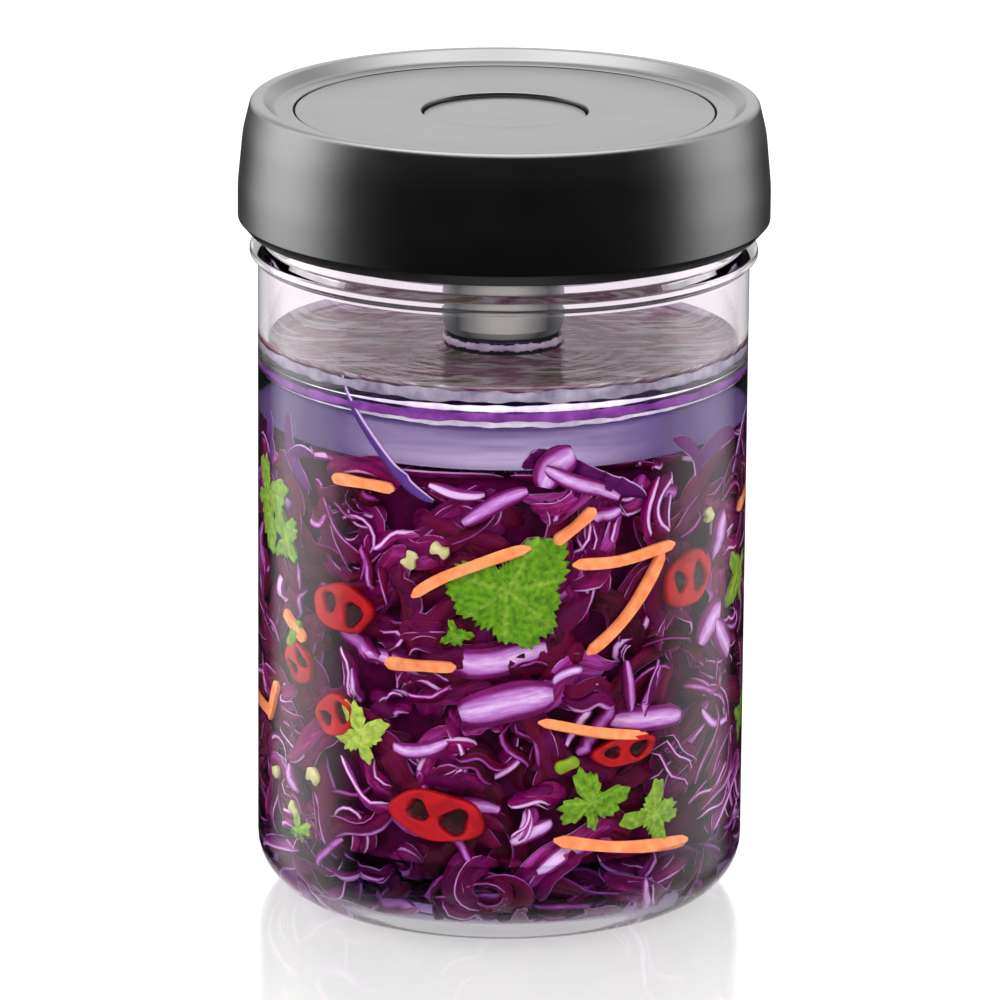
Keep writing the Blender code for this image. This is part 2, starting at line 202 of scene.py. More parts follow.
def pushedUnder(across, height, depth):
    spots = np.array(frontSpots)
    girth = arc(360)
    dx = np.mod(across[..., None] - spots[:, 0] + girth / 2, girth) - girth / 2
    dy = height[..., None] - spots[:, 1]
    away = np.hypot(dx, dy) / spots[:, 2]
    near = np.clip((push["reach"] - away) / push["fade"], 0, 1)
    near = near * near * (3 - 2 * near)
    return np.maximum(depth, (near * spots[:, 3]).max(-1)), near.max(-1)


# Adds such spots.
def keepClear(across, height, radius, depth):
    spots = np.stack(np.broadcast_arrays(across, height, radius, depth), -1)
    frontSpots.extend(spots.reshape(-1, 4).tolist())


# Strips. The heading is theta + bend (t - 1/2) + wave sin(2 pi f t + phase), and its running sum
# is the path on the sheet. The section is a flat bar with rounded edges, cupped across by
# cup u^2 and turned about the path by twist + spin (t - 1/2); its two edges waver on their own.
# Behind the pieces in front it goes deeper, on its broad side and without its cup.
def strips(name, p, sheet=onWall, steps=14, under=True, ends=6.0):
    n = len(p["across"])
    col = {k: np.asarray(v, float).reshape(-1, 1) * np.ones((n, 1)) for k, v in p.items()}
    t = np.linspace(0, 1, steps)[None, :]
    heading = (np.radians(col["theta"]) + col["bend"] * (t - 0.5)
               + col["wave"] * np.sin(2 * math.pi * col["freq"] * t + col["phase"]))
    along = np.cumsum(np.cos(heading), 1) * col["length"] / steps
    up = np.cumsum(np.sin(heading), 1) * col["length"] / steps
    along += col["across"] - along.mean(1, keepdims=True)
    up += col["height"] - up.mean(1, keepdims=True)
    depth = (col["depth"] + col["lift"] * np.sin(math.pi * col["liftFreq"] * t + col["phase"])
             + col["dive"] * np.abs(2 * t - 1) ** 3)
    flat = np.zeros_like(depth)
    if under:
        depth, flat = pushedUnder(along, up, depth)
    path, out = sheet(along, up, depth)
    ahead = np.gradient(path, axis=1)
    ahead /= np.maximum(np.linalg.norm(ahead, axis=-1, keepdims=True), 1e-9)
    side = np.cross(out, ahead)
    side /= np.maximum(np.linalg.norm(side, axis=-1, keepdims=True), 1e-9)
    out = np.cross(ahead, side)
    broad = np.where(col["width"] < col["thick"], 90.0, 0.0)
    lean = col["twist"] + col["spin"] * (t - 0.5) - broad
    turn = np.radians(broad + lean * (1 - 0.9 * flat))[..., None]
    acrossWay = (side * np.cos(turn) + out * np.sin(turn))[:, :, None, :]
    throughWay = (out * np.cos(turn) - side * np.sin(turn))[:, :, None, :]
    u = np.array([-1, -1, -1, -0.93, 0, 0.93, 1, 1, 1, 0.93, 0, -0.93])
    v = np.array([-0.6, 0, 0.6, 1, 1, 1, 0.6, 0, -0.6, -1, -1, -1])
    cutFace = np.array([0.62, 1, 0.62, 0, 0, 0, 0.62, 1, 0.62, 0, 0, 0])
    point = 1 - 0.75 * np.abs(2 * t - 1) ** ends
    left = 1 + col["ragged"] * np.sin(7 * t + 3 * col["phase"])
    right = 1 + col["ragged"] * np.sin(9 * t + 5 * col["phase"])
    half = (point * col["width"] / 2)[..., None]
    wide = u * half * np.where(u < 0, left[..., None], right[..., None])
    cup = (col["cup"] * (1 - flat))[..., None]
    thick = v * (point ** 0.5 * col["thick"] / 2)[..., None] + cup * u ** 2 * half
    spread = acrossWay * wide[..., None] + throughWay * thick[..., None]
    points = keptInside(path[:, :, None, :] + spread)
    shape = points.shape[:3]
    attributes = {
        "cut": np.broadcast_to(cutFace, shape),
        "tone": np.broadcast_to(col["tone"][..., None], shape),
        "along": np.broadcast_to((t * col["length"])[..., None] + 60 * col["tone"][..., None], shape),
        "across": wide + 0 * thick,
        "through": thick + 0 * wide,
    }
    return carriedMesh(name, points, attributes), along, up


def arc(degrees):
    return np.radians(degrees) * inside["unroll"]


# Fills in what a table of placed strips leaves out, one number for each strip.
def withDefaults(look, **extra):
    n = len(look["azimuth"])
    p = dict(bend=0.0, wave=0.03, freq=1.0, phase=np.arange(n) * 1.3, lift=0.0, liftFreq=1.0,
             dive=0.2, depth=0.2, twist=0.0, spin=0.0, cup=0.0, ragged=0.1, tone=rng.random(n))
    p.update(look)
    p.update(extra)
    p["across"] = arc(p.pop("azimuth"))
    return {k: np.broadcast_to(np.asarray(v, float), (n,)).copy() for k, v in p.items()}


# Sets a node's inputs: a socket is linked and anything else is the input's own value.
def feed(tree, node, inputs):
    for key, value in inputs.items():
        if isinstance(value, bpy.types.NodeSocket):
            tree.links.new(value, node.inputs[key])
        else:
            node.inputs[key].default_value = value


def addNode(tree, kind, inputs=None, **settings):
    node = tree.nodes.new("ShaderNode" + kind)
    for key, value in settings.items():
        setattr(node, key, value)
    feed(tree, node, inputs or {})
    return node.outputs


def newMaterial(name, **values):
    mat = bpy.data.materials.new(name)
    mat.use_nodes = True
    tree = mat.node_tree
    shader = tree.nodes["Principled BSDF"]
    feed(tree, shader, {key.replace("_", " "): value for key, value in values.items()})
    return mat, tree, shader


def mathNode(tree, operation, *values):
    return addNode(tree, "Math", dict(enumerate(values)), operation=operation)[0]


def noiseNode(tree, vector, scale, detail):
    return addNode(tree, "TexNoise", {"Vector": vector, "Scale": scale, "Detail": detail})["Fac"]


def rangeNode(tree, value, low=0.0, high=1.0, toLow=0.0, toHigh=1.0, curve="LINEAR"):
    inputs = {"Value": value, "From Min": low, "From Max": high, "To Min": toLow, "To Max": toHigh}
    return addNode(tree, "MapRange", inputs, interpolation_type=curve)[0]


def rampNode(tree, value, stops):
    node = tree.nodes.new("ShaderNodeValToRGB")
    elements = node.color_ramp.elements
    for element, (position, colour) in zip(elements, (stops[0], stops[-1])):
        element.position, element.color = position, (*colour, 1)
    for position, colour in stops[1:-1]:
        elements.new(position).color = (*colour, 1)
    tree.links.new(value, node.inputs[0])
    return node.outputs[0]


def mixColours(tree, factor, a, b):
    return addNode(tree, "Mix", {0: factor, 6: a, 7: b}, data_type="RGBA")[2]


def mixShaders(tree, factor, a, b):
    return addNode(tree, "MixShader", {0: factor, 1: a, 2: b})[0]


def addBump(tree, shader, height, strength, distance):
    bump = addNode(tree, "Bump", {"Strength": strength, "Distance": distance, "Height": height})
    feed(tree, shader, {"Normal": bump[0]})


def objectPlace(tree):
    return addNode(tree, "TexCoord")["Object"]


def axesOf(tree, vector):
    return tuple(addNode(tree, "SeparateXYZ", {0: vector}))


def attribute(tree, key):
    return addNode(tree, "Attribute", attribute_name=key)["Fac"]


# A place to read noise at: each value times its own scale.
def scaledPlace(tree, values, scales):
    scaled = [mathNode(tree, "MULTIPLY", value, scale) for value, scale in zip(values, scales)]
    return addNode(tree, "CombineXYZ", dict(enumerate(scaled)))[0]


def evenly(colours):
    return [(i / (len(colours) - 1), colour) for i, colour in enumerate(colours)]


def seeThrough(tree, factor, surface):
    mixed = mixShaders(tree, factor, surface, addNode(tree, "BsdfTransparent")[0])
    feed(tree, tree.nodes["Material Output"], {"Surface": mixed})


# Clear stuff: shadow and soft light rays pass straight through, so what is inside is lit. So do
# all rays where the mask is one.
def letLightIn(tree, surface, mask=None):
    path = addNode(tree, "LightPath")
    pick = mathNode(tree, "MAXIMUM", path["Is Shadow Ray"], path["Is Diffuse Ray"])
    if mask:
        pick = mathNode(tree, "MAXIMUM", pick, mask)
    seeThrough(tree, pick, surface)


def newGroup(name, **sockets):
    group = bpy.data.node_groups.new(name, "ShaderNodeTree")
    for key, way in sockets.items():
        group.interface.new_socket(key, in_out=way, socket_type="NodeSocketFloat")
    return group


# Moulded grain for plastics: fine and broad noise on Object coordinates.
def grainGroup():
    group = newGroup("mouldedGrain", Scale="INPUT", Height="OUTPUT", Cloud="OUTPUT")
    scale = group.nodes.new("NodeGroupInput").outputs["Scale"]
    where = objectPlace(group)
    made = {"Height": noiseNode(group, where, scale, 2), "Cloud": noiseNode(group, where, 70, 4)}
    feed(group, group.nodes.new("NodeGroupOutput"), made)
    return group


# Streaks that follow a strip: noise over its own along, across and through attributes.
def streakGroup():
    group = newGroup("stripStreaks", Fine="OUTPUT", Patch="OUTPUT")
    place = [attribute(group, key) for key in ("along", "across", "through")]
    where = scaledPlace(group, place, (0.25, 1.6, 1.6))
    made = {"Fine": noiseNode(group, where, 1, 4), "Patch": noiseNode(group, where, 0.35, 2)}
    feed(group, group.nodes.new("NodeGroupOutput"), made)
    return group


mouldedGrain = grainGroup()
stripStreaks = streakGroup()
grainScale = 1600.0


def plasticMaterial(name, colour, roughness, bump, specular=1.0, metallic=0.0, ior=1.8):
    mat, tree, shader = newMaterial(name, Metallic=metallic, Specular_IOR_Level=specular, IOR=ior,
                                    Specular_Tint=(1.0, 0.985, 1.0, 1))
    moulded = addNode(tree, "Group", {"Scale": grainScale}, node_tree=mouldedGrain)
    cloud = moulded["Cloud"]
    stops = [(0.3, [c * 0.8 for c in colour]), (0.7, [c * 1.2 for c in colour])]
    rough = rangeNode(tree, cloud, toLow=roughness - 0.05, toHigh=roughness + 0.05)
    feed(tree, shader, {"Roughness": rough, "Base Color": rampNode(tree, cloud, stops)})
    addBump(tree, shader, moulded["Height"], bump, 0.0001)
    return mat, tree, shader


def clearMaterial(name, ior, colour, waves):
    mat, tree, shader = newMaterial(name, Roughness=0.0, IOR=ior, Transmission_Weight=1.0,
                                    Base_Color=(*colour, 1))
    strength, scale = waves
    addBump(tree, shader, noiseNode(tree, objectPlace(tree), scale, 1), strength, 0.0008)
    letLightIn(tree, shader.outputs[0])
    return mat, tree, shader


# Cabbage: its skin's tone and its cut faces drift with the streaks, and cut faces are paler.
def cabbageMaterial(name, skins, flesh):
    mat, tree, shader = newMaterial(name, Roughness=0.33, Specular_IOR_Level=0.14)
    streaks = addNode(tree, "Group", node_tree=stripStreaks)
    fine, patch = streaks["Fine"], streaks["Patch"]
    tone, cut = attribute(tree, "tone"), attribute(tree, "cut")
    drift = mathNode(tree, "MULTIPLY_ADD", patch, 0.9, -0.78)
    drift = mathNode(tree, "MULTIPLY_ADD", fine, 0.5, drift)
    skin = rampNode(tree, mathNode(tree, "ADD", tone, drift), evenly(skins))
    fleshTone = mathNode(tree, "MULTIPLY_ADD", fine, 0.9, -1.22)
    fleshTone = mathNode(tree, "MULTIPLY_ADD", cut, 1.2, fleshTone)
    fleshTone = mathNode(tree, "MULTIPLY_ADD", tone, 0.85, fleshTone)
    pale = rampNode(tree, fleshTone, evenly(flesh))
    edge = rangeNode(tree, cut, 0.3, 0.75, curve="SMOOTHSTEP")
    feed(tree, shader, {"Base Color": mixColours(tree, edge, skin, pale)})
    addBump(tree, shader, fine, 0.5, 0.0004)
    return mat


def mottledMaterial(name, dark, light, scale, roughness, bump=0.25, specular=0.25):
    mat, tree, shader = newMaterial(name, Roughness=roughness, Specular_IOR_Level=specular)
    spots = noiseNode(tree, objectPlace(tree), scale, 4)
    feed(tree, shader, {"Base Color": rampNode(tree, spots, [(0.3, dark), (0.72, light)])})
    addBump(tree, shader, spots, bump, 0.0004)
    return mat


def dress(piece, mat, slot, *nodeNames):
    piece.data.materials.clear()
    piece.data.materials.append(mat)
    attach(piece, "root")
    if nodeNames:
        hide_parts(*nodeNames)


def asFood(piece, mat):
    dress(piece, mat, "vegetables", "vegetable_heap")


jarLook = {
    "wallOut": 54.0, "cornerOut": 17.3, "neckOut": 52.5, "neckIn": 50.2, "bead": 55.8,
    "mouth": 172.0, "beadZ": (143.4, 144.5, 146.0, 146.9), "ior": 1.47,
    "tint": (0.965, 0.968, 0.972), "waves": (0.06, 45), "wetTo": 127.0, "wetIor": 1.47 / 1.34,
    "blush": (0.985, 0.93, 0.975),
}


def innerWall(inset=0.0):
    r = inside["wall"] + inset
    z = inside["floor"] - inset
    return [(r, 142.2, 1.5), (r, jarLook["wetTo"], 0), (r, z, inside["corner"] + inset), (0, z, 0)]


def makeJar():
    look = jarLook
    wall, low, high, neck = look["beadZ"]
    outer = [(0, 1.2, 0), (27.0, 1.2, 3), (29.6, 0.0, 1.5), (look["wallOut"], 0.0, look["cornerOut"]),
             (look["wallOut"], wall, 1.0), (look["bead"], low, 0.6), (look["bead"], high, 0.6),
             (look["neckOut"], neck, 0.6), (look["neckOut"], look["mouth"], 0.9),
             (look["neckIn"], look["mouth"], 0.9), (look["neckIn"], 148.2, 3)]
    outline = roundedOutline(outer + innerWall(), steps=9)
    wet, _, _ = clearMaterial("jarGlassWet", look["wetIor"], (1, 1, 1), look["waves"])
    dry, tree, shader = clearMaterial("jarGlass", look["ior"], look["tint"], look["waves"])
    _, _, height = axesOf(tree, objectPlace(tree))
    wetTop = look["wetTo"] * toMetres
    stops = [(wetTop, look["tint"]), (wetTop + 2 * toMetres, look["blush"])]
    feed(tree, shader, {"Base Color": rampNode(tree, height, stops)})
    jar = turned("jar", outline)
    dress(jar, dry, "glass", "jar_glass")
    jar.data.materials.append(wet)
    middles = np.array([face.center for face in jar.data.polygons]) / toMetres
    r, z = np.hypot(middles[:, 0], middles[:, 1]), middles[:, 2]
    isInner = (r < inside["wall"] + 0.05) & (z > inside["floor"] - 0.05) & (z < look["wetTo"])
    jar.data.polygons.foreach_set("material_index", isInner.astype(np.int32))


weightLook = {
    "r": 47.0, "low": 107.5, "high": 118.0, "edges": (1.9, 1.2), "stemR": 13.0, "stemTop": 127.6,
    "boreR": 10.0, "boreFloor": 114.0, "ior": 1.49 / 1.34, "waves": (0.12, 60),
    "clear": (0.98, 0.96, 0.98), "shaded": (0.19, 0.15, 0.34),
}


def makeWeight():
    look = weightLook
    topEdge, lowEdge = look["edges"]
    points = [(0, look["low"], 0), (look["r"], look["low"], lowEdge), (look["r"], look["high"], topEdge),
              (look["stemR"], look["high"], 1.5), (look["stemR"], look["stemTop"], 0.7),
              (look["boreR"], look["stemTop"], 0.7), (look["boreR"], look["boreFloor"], 1.5),
              (0, look["boreFloor"], 0)]
    mat, tree, shader = clearMaterial("pressWeight", look["ior"], look["clear"], look["waves"])
    # The tint turns from the clear colour to the shaded one towards the weight's sides in x and in a
    # band under its top, with noise through it: a painted shade.
    where = objectPlace(tree)
    x, _, z = axesOf(tree, where)
    cloud = mathNode(tree, "MULTIPLY", noiseNode(tree, where, 35, 2), 0.5)
    shadeAtSides = mathNode(tree, "ABSOLUTE", x)
    shadeAtSides = mathNode(tree, "DIVIDE", shadeAtSides, look["r"] * toMetres)
    high = look["high"]
    shadeUnderTop = rangeNode(tree, z, (high - 5) * toMetres, (high - 1) * toMetres, toHigh=0.8)
    depth = mathNode(tree, "ADD", mathNode(tree, "MAXIMUM", shadeAtSides, shadeUnderTop), cloud)
    stops = [(0.36, look["clear"]), (0.95, look["shaded"])]
    feed(tree, shader, {"Base Color": rampNode(tree, depth, stops)})
    dress(turned("pressWeight", roundedOutline(points)), mat, "clear_plastic", "press_weight")


# Brine: a solid of the same liquid everywhere, let a little into the glass. Its surface climbs by
# rise exp(-distance / reach) at the wall and at the weight's stem. The faces of the glass and the
# weight bend the light there, so only the brine's own surface does more than hold the dye.
brineLook = {
    "level": 124.0, "overlap": 0.12, "hair": 0.01, "rise": 3.0, "reach": 2.3, "stemRise": 0.8,
    "stemReach": 0.9, "ior": 1.34, "ripple": 45.0, "rings": 420.0, "bands": (38.0, 170.0),
    "dye": (0.30, 0.05, 0.50), "density": 135.0, "paintedReflectionShare": 0.45,
    "paintedReflection": [(0.36, (0.14, 0.13, 0.02)), (0.43, (0.58, 0.41, 0.49)), (0.50, (0.28, 0.05, 0.11)),
             (0.57, (0.88, 0.80, 0.86)), (0.65, (0.26, 0.20, 0.10))],
}


def makeBrine():
    look, weight = brineLook, weightLook
    lap, hair = look["overlap"], look["hair"]
    wallR, stemR, discR = inside["wall"] + lap, weight["stemR"] - hair, weight["r"] - hair
    topEdge, lowEdge = weight["edges"]
    r = stemR + (wallR - stemR) * (0.5 - 0.5 * np.cos(np.linspace(0, math.pi, 60)))
    z = look["level"] + look["rise"] * np.exp(-(wallR - r) / look["reach"])
    z += look["stemRise"] * np.exp(-(r - stemR) / look["stemReach"])
    under = roundedOutline([(0, weight["low"] + hair, 0), (discR, weight["low"] + hair, lowEdge),
                            (discR, weight["high"] - hair, topEdge),
                            (stemR, weight["high"] - hair, 1.5), (stemR, z[0], 0)])
    wall = roundedOutline([(wallR, z[-1], 0)] + innerWall(lap)[1:], steps=14)
    outline = np.concatenate([under[:-1], np.stack([r, z], -1), wall[1:]])
    mat, tree, shader = newMaterial("purpleBrine", Roughness=0.0, IOR=look["ior"],
                                    Transmission_Weight=1.0, Base_Color=(1, 1, 1, 1),
                                    Specular_Tint=(0, 0, 0, 1))
    x, y, height = axesOf(tree, objectPlace(tree))
    squared = mathNode(tree, "MULTIPLY_ADD", x, x, mathNode(tree, "MULTIPLY", y, y))
    atStem = mathNode(tree, "LESS_THAN", squared, ((stemR + 0.02) * toMetres) ** 2)
    atWall = mathNode(tree, "GREATER_THAN", squared, ((wallR - 0.05) * toMetres) ** 2)
    sunk = mathNode(tree, "LESS_THAN", height, (look["level"] - 0.1) * toMetres)
    held = mathNode(tree, "MAXIMUM", sunk, mathNode(tree, "MAXIMUM", atStem, atWall))
    radius = mathNode(tree, "SQRT", squared)
    rings = scaledPlace(tree, (radius, x, y), (look["rings"], look["ripple"], look["ripple"]))
    addBump(tree, shader, noiseNode(tree, rings, 1, 1), 0.6, 0.0006)
    # A diffuse layer with streaks of pale and dark colour is mixed over the surface: a painted
    # reflection on the brine's top.
    streaks = noiseNode(tree, scaledPlace(tree, (x, y), look["bands"]), 1, 3)
    paintedReflection = addNode(tree, "BsdfDiffuse", {"Color": rampNode(tree, streaks, look["paintedReflection"])})
    surface = mixShaders(tree, look["paintedReflectionShare"], shader.outputs[0], paintedReflection[0])
    letLightIn(tree, surface, held)
    dyed = {"Color": (*look["dye"], 1), "Density": look["density"]}
    dye = addNode(tree, "VolumeAbsorption", dyed)
    feed(tree, tree.nodes["Material Output"], {"Volume": dye[0]})
    dress(turned("brine", outline), mat, None)


# Painted lines: thin rings along the brine's edge, under it, on the weight's rim and on its stem. The
# two white rings are painted highlights where the brine meets the glass and the weight's rim. The grey
# ring is a painted reflection of the meniscus. The purple ring is a painted band of the brine seen
# between the two white ones, and the pale ring on the stem is a painted highlight. With a power above
# zero, a ring is highest towards the front, at the angle turn, and thins away from it. The section is an
# oval whose height follows the angle, high ((1 + cos) / 2)^power times sine wobbles. One row is radius,
# height, half its height, power, dark and light.
paintedLinesLook = {
    "highlightAtWall": (51.05, 122.0, 0.85, 9, (0.66, 0.50, 0.78), (0.98, 0.96, 1.0)),
    "highlightAtRim": (46.95, 117.9, 0.85, 7, (0.66, 0.50, 0.78), (0.98, 0.96, 1.0)),
    "meniscusReflectionBand": (51.1, 124.6, 1.3, 0.5, (0.15, 0.12, 0.20), (0.42, 0.37, 0.46)),
    "paintedPurpleBand": (51.1, 120.1, 1.1, 0.7, (0.09, 0.01, 0.15), (0.28, 0.06, 0.38)),
    "highlightOnStem": (12.95, 126.4, 0.8, 0, (0.45, 0.28, 0.50), (0.90, 0.80, 0.92)),
}
paintedLinesShape = {"thin": 0.3, "turn": -85.0, "least": 0.012}


def makePaintedLines():
    a = (np.arange(240) / 240 * 2 * math.pi)[:, None]
    u = (np.arange(10) / 10 * 2 * math.pi)[None, :]
    facingFront = 0.5 + 0.5 * np.cos(a - math.radians(paintedLinesShape["turn"]))
    for name, (r, z, high, power, dark, light) in paintedLinesLook.items():
        wobble = 0.14 * np.sin(9 * a) + 0.14 * np.sin(23 * a + 1) + 0.12 * np.sin(51 * a + r)
        half = high * np.maximum(paintedLinesShape["least"], facingFront ** power * (1 + wobble))
        ringR, ringZ = r + paintedLinesShape["thin"] * half * np.cos(u), z + half * np.sin(u)
        points = np.stack([ringR * np.cos(a), ringR * np.sin(a), ringZ], -1)
        piece = addMesh(name, points.reshape(-1, 3), quadsRound(*points.shape[:2], True))
        dress(piece, mottledMaterial(name, dark, light, 260, 0.35, 0.1), None)


# Black parts of the lid: material, slot, node, roughness, bump and outline. The disc is a ring,
# so its outline ends where it starts.
black = (0.0018, 0.0018, 0.0021)
lidParts = {
    "lid": ("blackPlastic", "black_plastic", "lid_cap", 0.31, 0.12,
            [(0, 172.6, 0), (46.3, 172.6, 0.2), (46.3, 176.2, 0.3), (50.2, 176.2, 2.0),
             (52.9, 178.5, 1.2), (55.6, 178.5, 1.4), (57.3, 171.5, 30), (58.4, 160.0, 40),
             (58.4, 152.6, 0.5), (56.0, 149.9, 0.4), (54.3, 149.9, 0.3), (54.3, 172.3, 0.3),
             (49.5, 172.3, 0.3), (49.5, 169.5, 1), (0, 169.5, 0)]),
    "lidDisc": ("blackDisc", "black_disc", "lid_top_disc", 0.33, 0.08,
                [(18.3, 172.9, 0), (18.3, 176.0, 0.35), (45.95, 176.0, 0.35), (45.95, 172.9, 0.1),
                 (18.3, 172.9, 0)]),
    "valveButton": ("blackButton", "black_button", "valve_button", 0.32, 0.08,
                    [(0, 175.4, 0), (14, 175.3, 20), (17.95, 175.0, 0.5), (17.95, 172.9, 0.1),
                     (0, 172.9, 0)]),
}


def makeLid():
    for name, (title, slot, node, roughness, bump, points) in lidParts.items():
        outline = roundedOutline(points)
        if points[0] == points[-1]:
            outline = outline[:-1]
        mat, _, _ = plasticMaterial(title, black, roughness, bump)
        dress(turned(name, outline), mat, slot, node)


# Housing: an open cup with a groove. Its colour follows how it faces the eye: a painted highlight where
# it faces the eye, a painted dark band further round, and paler again at its edges.
def makeHousing():
    points = [(0, 169.2, 0), (13.2, 169.2, 0.3), (13.2, 137.6, 0.2), (12.8, 137.3, 0.1),
              (12.8, 136.7, 0.1), (13.2, 136.4, 0.2), (13.2, 129.6, 0.5), (12.6, 128.0, 0.5),
              (10.5, 128.0, 0.4), (10.5, 165.2, 0.5), (0, 165.2, 0)]
    mat, tree, shader = plasticMaterial("greyHousing", (0.74, 0.74, 0.74), 0.3, 0.04,
                                        specular=0.3, metallic=0.25, ior=1.5)
    # Base colour by facing: painted highlight in the middle, painted shade towards the sides.
    facing = addNode(tree, "LayerWeight")["Facing"]
    stops = [(0.04, (0.92, 0.92, 0.84)), (0.14, (0.55, 0.56, 0.54)), (0.36, (0.09, 0.11, 0.11)),
             (0.75, (0.30, 0.31, 0.31))]
    feed(tree, shader, {"Base Color": rampNode(tree, facing, stops)})
    piece = turned("valveHousing", roundedOutline(points), 96)
    dress(piece, mat, "grey_housing", "valve_housing")


# Core: the wall's sheet at its depth plus three sizes of sine lumps, closed above and below.
coreLook = {"depth": 8.0, "lumps": 0.7, "low": -3.4, "high": 104.5, "rows": 90, "sides": 160}


def makeCore():
    look = coreLook
    sides = look["sides"]
    across = np.arange(sides) / sides * 2 * math.pi * inside["unroll"]
    height = np.linspace(look["low"], look["high"], look["rows"])[:, None]
    a = across / inside["unroll"]
    lumps = (0.9 * np.sin(5 * a + 0.11 * height) + 0.7 * np.sin(11 * a - 0.23 * height + 1)
             + 0.5 * np.sin(17 * a + 0.37 * height) * np.sin(0.5 * height))
    depth = look["depth"] + look["lumps"] * lumps
    points, _ = onWall(across + 0 * height, height + 0 * across, depth)
    core = carriedMesh("cabbageCore", points[None])
    # Darker than the shreds' skins: the packed cabbage behind them, with painted shade for the depths of
    # the heap.
    dark, light = (0.03, 0.0002, 0.014), (0.11, 0.0005, 0.055)
    asFood(core, mottledMaterial("coreDark", dark, light, 260, 0.5, bump=0.8, specular=0.05))


# Carrot strips at the places that show in front, then more of them all round.
carrotLook = {
    "azimuth": [-36, -8, 18, 32, 33, -20, 24, 33, -72, -60, 90, 118, 150, 182, 214, 247, 272, 105, 200],
    "height": [102.6, 85.8, 95.3, 87.0, 76.0, 63.6, 48.6, 21.6, 46, 66, 92, 55, 80, 30, 66,
               96, 42, 25, 100],
    "length": [17, 30, 12, 27, 30, 17, 28, 37, 12, 10, 24, 28, 22, 30, 26, 20, 30, 26, 20],
    "theta": [0, 26, 38, 3, 47, 2, -13, -9, 60, -30, 15, -25, 40, -10, 20, -35, 8, -15, 12],
    "bend": [-0.1, -0.45, 0.1, 0.15, 0.55, 0.1, 0.05, 0.12, 0.2, 0, 0.3, -0.3, 0.2, 0.4, -0.2,
             0.1, -0.4, 0.2, 0],
    "width": 2.5, "thick": 1.9, "depth": 1.15,
}


def makeCarrots():
    n = len(carrotLook["azimuth"])
    p = withDefaults(carrotLook, width=carrotLook["width"] * rng.uniform(0.9, 1.15, n),
                     twist=rng.normal(0, 6, n), spin=rng.normal(0, 10, n))
    piece, across, height = strips("carrotStrips", p, steps=18, under=False, ends=16)
    piece.data.set_sharp_from_angle(angle=math.radians(40))
    keepClear(across[:, ::2], height[:, ::2], 2.6, 3.4)
    asFood(piece, mottledMaterial("carrot", (0.80, 0.19, 0.06), (0.96, 0.36, 0.15), 420, 0.35, 0.3))


# Slice of pepper: an oval, (a cos u, b sin u) rho, whose front is a height field. The rim is
# rounded over the last eighth and two oval pits are the seed chambers, with a bar between them.
pepperLook = {
    "azimuth": [-42, 52, -15.5, 32, -44, -58, 120, 205, 262, 160],
    "height": [73.6, 79.1, 29.9, 43.5, 49.0, 58, 60, 85, 35, 24],
    "halfWide": [8.2, 7.6, 10.3, 8.0, 6.0, 4.5, 8, 8, 9, 7],
    "halfHigh": [5.6, 6.4, 5.9, 3.4, 4.6, 5, 6, 6, 6, 5],
    "turn": [-0.12, 0.2, -0.10, 0.12, 0.6, 1.0, 0.3, -0.4, 0.1, 0.5],
    "thick": 2.4,
}


def makePeppers():
    look = pepperLook
    n = len(look["azimuth"])
    col = {k: np.array(v, float)[:, None, None] for k, v in look.items() if k != "thick"}
    u = (np.arange(72) / 72 * 2 * math.pi)[None, None, :]
    rho = np.sin(np.linspace(0.02, 1, 22) * math.pi / 2)[None, :, None]
    seed = np.arange(n)[:, None, None]
    wobble = 1 + 0.05 * np.sin(2 * u + seed) + 0.035 * np.sin(5 * u + 2 * seed)
    x = rho * col["halfWide"] * wobble * np.cos(u)
    y = rho * col["halfHigh"] * wobble * np.sin(u)
    pit = np.zeros(np.broadcast_shapes(x.shape, y.shape))
    for side, size in ((-1, 0.85), (1, 1.1)):
        px = (x / col["halfWide"] - side * 0.40) / (0.27 * size)
        py = (y / col["halfHigh"] + 0.10 * side - 0.25 * px * side * 0.24) / (0.48 * size)
        ragged = 0.22 * np.sin(3 * np.arctan2(py, px) + 2 * seed + side)
        pit = np.maximum(pit, np.clip((1.15 + ragged - px ** 2 - py ** 2) / 0.45, 0, 1))
    pit = pit * pit * (3 - 2 * pit)
    rimRound = 1 - np.sqrt(np.maximum(0, 1 - np.clip((rho - 0.88) / 0.12, 0, 1) ** 2))
    front = 0.15 + 1.5 * pit + 1.2 * rimRound + 0.25 * np.sin(3 * u + seed) * rho
    back = look["thick"] + 0.3 - 0.9 * rimRound + 0 * pit
    sheets = []
    for depth, order in ((front, 1), (back, -1)):
        turn = col["turn"]
        along = x * np.cos(turn) - y * np.sin(turn) + arc(col["azimuth"])
        up = x * np.sin(turn) + y * np.cos(turn) + col["height"]
        points, _ = onWall(along + 0 * depth, up + 0 * depth, depth)
        sheets.append(points[:, ::order])
    points = keptInside(np.concatenate(sheets, axis=1))
    pits = np.concatenate([pit, pit[:, ::-1] * 0], axis=1)
    rims = np.broadcast_to(np.concatenate([rho, rho[:, ::-1]], axis=1), points.shape[:3])
    asFood(carriedMesh("pepperSlices", points, {"pit": pits, "rim": rims}), pepperMaterial())
    thirds = arc(col["azimuth"]) + np.array([-0.5, 0, 0.5]) * col["halfWide"]
    keepClear(thirds, col["height"], col["halfHigh"] * 1.02, 3.8)


